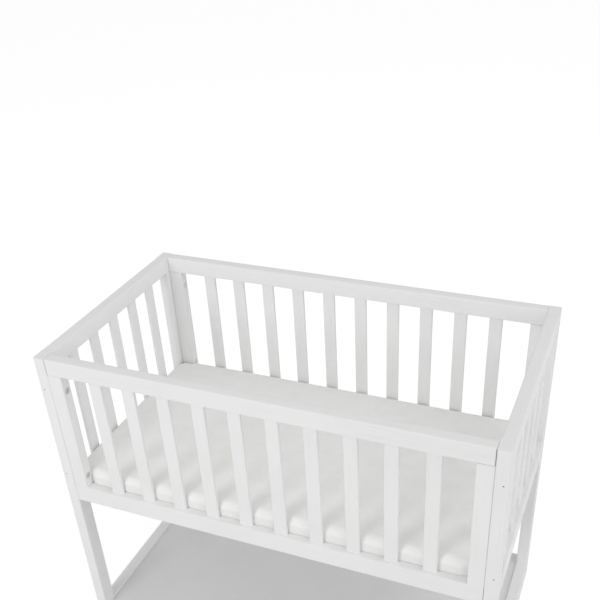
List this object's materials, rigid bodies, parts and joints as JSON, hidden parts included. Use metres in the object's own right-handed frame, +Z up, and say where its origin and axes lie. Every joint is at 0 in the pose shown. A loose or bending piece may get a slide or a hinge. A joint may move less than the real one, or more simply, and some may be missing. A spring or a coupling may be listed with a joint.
{
  "type": "bedside crib",
  "caption": "Rectangular white wooden crib with slatted sides, raised mattress on a board and an open storage shelf near the floor.",
  "frame": {"origin": "centre of the footprint at floor level", "axes": "+X along the length to the right as seen from the front, +Y from the front panel to the back panel, +Z up"},
  "size_m": [0.95, 0.514, 0.77],
  "materials": {
    "white_lacquered_wood": "satin white lacquer on planed beech, fine grain faintly showing",
    "white_painted_board": "smooth white painted fibreboard",
    "mattress_cover": "plain off-white woven polycotton",
    "nickel_plated_steel": "nickel plated, slightly worn in the socket"
  },
  "bodies": {
    "crib": {"front_top_rail": "white_lacquered_wood", "front_bottom_rail": "white_lacquered_wood", "front_left_stile": "white_lacquered_wood", "front_right_stile": "white_lacquered_wood", "front_slat_1": "white_lacquered_wood", "front_slat_2": "white_lacquered_wood", "front_slat_3": "white_lacquered_wood", "front_slat_4": "white_lacquered_wood", "front_slat_5": "white_lacquered_wood", "front_slat_6": "white_lacquered_wood", "front_slat_7": "white_lacquered_wood", "front_slat_8": "white_lacquered_wood", "front_slat_9": "white_lacquered_wood", "front_slat_10": "white_lacquered_wood", "back_top_rail": "white_lacquered_wood", "back_bottom_rail": "white_lacquered_wood", "back_left_stile": "white_lacquered_wood", "back_right_stile": "white_lacquered_wood", "back_slat_1": "white_lacquered_wood", "back_slat_2": "white_lacquered_wood", "back_slat_3": "white_lacquered_wood", "back_slat_4": "white_lacquered_wood", "back_slat_5": "white_lacquered_wood", "back_slat_6": "white_lacquered_wood", "back_slat_7": "white_lacquered_wood", "back_slat_8": "white_lacquered_wood", "back_slat_9": "white_lacquered_wood", "back_slat_10": "white_lacquered_wood", "left_front_post": "white_lacquered_wood", "left_back_post": "white_lacquered_wood", "left_top_rail": "white_lacquered_wood", "left_middle_rail": "white_lacquered_wood", "left_floor_rail": "white_lacquered_wood", "left_slat_1": "white_lacquered_wood", "left_slat_2": "white_lacquered_wood", "left_slat_3": "white_lacquered_wood", "left_slat_4": "white_lacquered_wood", "left_slat_5": "white_lacquered_wood", "right_front_post": "white_lacquered_wood", "right_back_post": "white_lacquered_wood", "right_top_rail": "white_lacquered_wood", "right_middle_rail": "white_lacquered_wood", "right_floor_rail": "white_lacquered_wood", "right_slat_1": "white_lacquered_wood", "right_slat_2": "white_lacquered_wood", "right_slat_3": "white_lacquered_wood", "right_slat_4": "white_lacquered_wood", "right_slat_5": "white_lacquered_wood", "mattress_base_board": "white_painted_board", "storage_shelf": "white_painted_board", "front_left_upper_bolt": "nickel_plated_steel", "front_left_lower_bolt": "nickel_plated_steel", "front_right_upper_bolt": "nickel_plated_steel", "front_right_lower_bolt": "nickel_plated_steel", "back_left_upper_bolt": "nickel_plated_steel", "back_left_lower_bolt": "nickel_plated_steel", "back_right_upper_bolt": "nickel_plated_steel", "back_right_lower_bolt": "nickel_plated_steel"},
    "mattress": {"mattress": "mattress_cover"}
  },
  "joints": [
    {"name": "mattress_lift", "type": "slide", "parent": "crib", "child": "mattress", "axis": [0, 0, 1], "range_m": [0, 0.37]}
  ]
}
